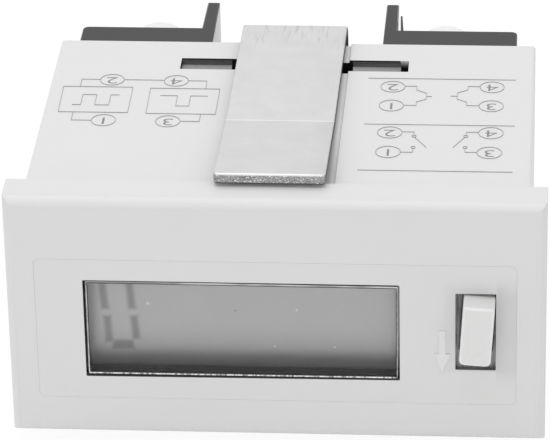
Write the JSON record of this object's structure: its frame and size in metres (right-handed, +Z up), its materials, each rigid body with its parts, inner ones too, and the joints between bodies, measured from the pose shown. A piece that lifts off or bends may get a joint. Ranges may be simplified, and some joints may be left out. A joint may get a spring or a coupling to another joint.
{
  "type": "digital panel counter",
  "caption": "Self-powered digital counter for a panel cut-out: display window and lockable reset key in front, screw terminals behind, held by a bent steel strap.",
  "frame": {"origin": "under the middle of the whole part, front to back and side to side, on the plane it stands on", "axes": "+Z up, -Y out of the display front, +Y back towards the terminals, +X right along the front as the viewer sees it"},
  "size_m": [0.048, 0.0484, 0.0265],
  "materials": {
    "case_grey": "fine satin grain",
    "plate_grey": "smooth satin",
    "clear_lens": "clear moulded plastic",
    "black_plastic": "smooth",
    "display_glass": "reflective display behind polarising film",
    "contact_rubber": "matt",
    "board_green": "lacquered board",
    "chip_resin": "cast resin",
    "can_metal": "drawn can",
    "capacitor_sleeve": "shrunk sleeve",
    "cell_sleeve": "sleeved steel can",
    "nickel_strip": "nickel strip",
    "dark_plastic": "smooth moulded",
    "key_white": "smooth moulded",
    "zinc_steel": "bright zinc plate",
    "strap_steel": "rolled spring steel, matt",
    "contact_brass": "stamped"
  },
  "bodies": {
    "housing": {"case": "case_grey", "front_plate": "plate_grey", "window_lens": "clear_lens", "lcd_holder": "black_plastic", "lcd_glass": "display_glass", "contact_strip_upper": "contact_rubber", "contact_strip_lower": "contact_rubber", "front_board": "board_green", "terminal_board": "board_green", "counter_chip": "chip_resin", "resistor_array": "chip_resin", "crystal": "can_metal", "capacitor": "capacitor_sleeve", "reset_contact": "contact_rubber", "battery": "cell_sleeve", "battery_tab_positive": "nickel_strip", "battery_tab_negative": "nickel_strip", "board_link": "black_plastic", "terminal_block": "dark_plastic", "terminal_plate_1": "contact_brass", "terminal_plate_2": "contact_brass", "terminal_plate_3": "contact_brass", "terminal_plate_4": "contact_brass"},
    "key_lock": {"lock_slider": "dark_plastic", "key_spring": "zinc_steel"},
    "key": {"key_cap": "key_white"},
    "clip": {"mounting_clip": "strap_steel"},
    "clamp_1": {"wire_clamp_1": "zinc_steel"},
    "screw_1": {"terminal_screw_1": "zinc_steel"},
    "clamp_2": {"wire_clamp_2": "zinc_steel"},
    "screw_2": {"terminal_screw_2": "zinc_steel"},
    "clamp_3": {"wire_clamp_3": "zinc_steel"},
    "screw_3": {"terminal_screw_3": "zinc_steel"},
    "clamp_4": {"wire_clamp_4": "zinc_steel"},
    "screw_4": {"terminal_screw_4": "zinc_steel"}
  },
  "joints": [
    {"name": "lock_slide", "type": "slide", "parent": "housing", "child": "key_lock", "axis": [0, 0, -1], "range_m": [0, 0.0014]},
    {"name": "key_press", "type": "slide", "parent": "key_lock", "child": "key", "axis": [0, 1, 0], "range_m": [0, 0.001], "stiffness_N_per_m": 400, "springref_m": -0.0005, "deforming": ["key_spring"]},
    {"name": "clip_slide", "type": "slide", "parent": "housing", "child": "clip", "axis": [0, 1, 0], "range_m": [0, 0.04]},
    {"name": "clamp_1_slide", "type": "slide", "parent": "housing", "child": "clamp_1", "axis": [0, -1, 0], "range_m": [0, 0.002]},
    {"name": "screw_1_turn", "type": "hinge", "parent": "clamp_1", "child": "screw_1", "pos_m": [-0.0142, 0.02115, 0.00865], "axis": [0, -1, 0], "range_deg": [0, 1200]},
    {"name": "clamp_2_slide", "type": "slide", "parent": "housing", "child": "clamp_2", "axis": [0, -1, 0], "range_m": [0, 0.002]},
    {"name": "screw_2_turn", "type": "hinge", "parent": "clamp_2", "child": "screw_2", "pos_m": [-0.0142, 0.02115, 0.01785], "axis": [0, -1, 0], "range_deg": [0, 1200]},
    {"name": "clamp_3_slide", "type": "slide", "parent": "housing", "child": "clamp_3", "axis": [0, -1, 0], "range_m": [0, 0.002]},
    {"name": "screw_3_turn", "type": "hinge", "parent": "clamp_3", "child": "screw_3", "pos_m": [0.0137, 0.02115, 0.00865], "axis": [0, -1, 0], "range_deg": [0, 1200]},
    {"name": "clamp_4_slide", "type": "slide", "parent": "housing", "child": "clamp_4", "axis": [0, -1, 0], "range_m": [0, 0.002]},
    {"name": "screw_4_turn", "type": "hinge", "parent": "clamp_4", "child": "screw_4", "pos_m": [0.0137, 0.02115, 0.01785], "axis": [0, -1, 0], "range_deg": [0, 1200]}
  ],
  "couplings": [
    {"joint": "screw_1_turn", "follows": "clamp_1_slide", "rad_per_m": 10472},
    {"joint": "screw_2_turn", "follows": "clamp_2_slide", "rad_per_m": 10472},
    {"joint": "screw_3_turn", "follows": "clamp_3_slide", "rad_per_m": 10472},
    {"joint": "screw_4_turn", "follows": "clamp_4_slide", "rad_per_m": 10472}
  ]
}
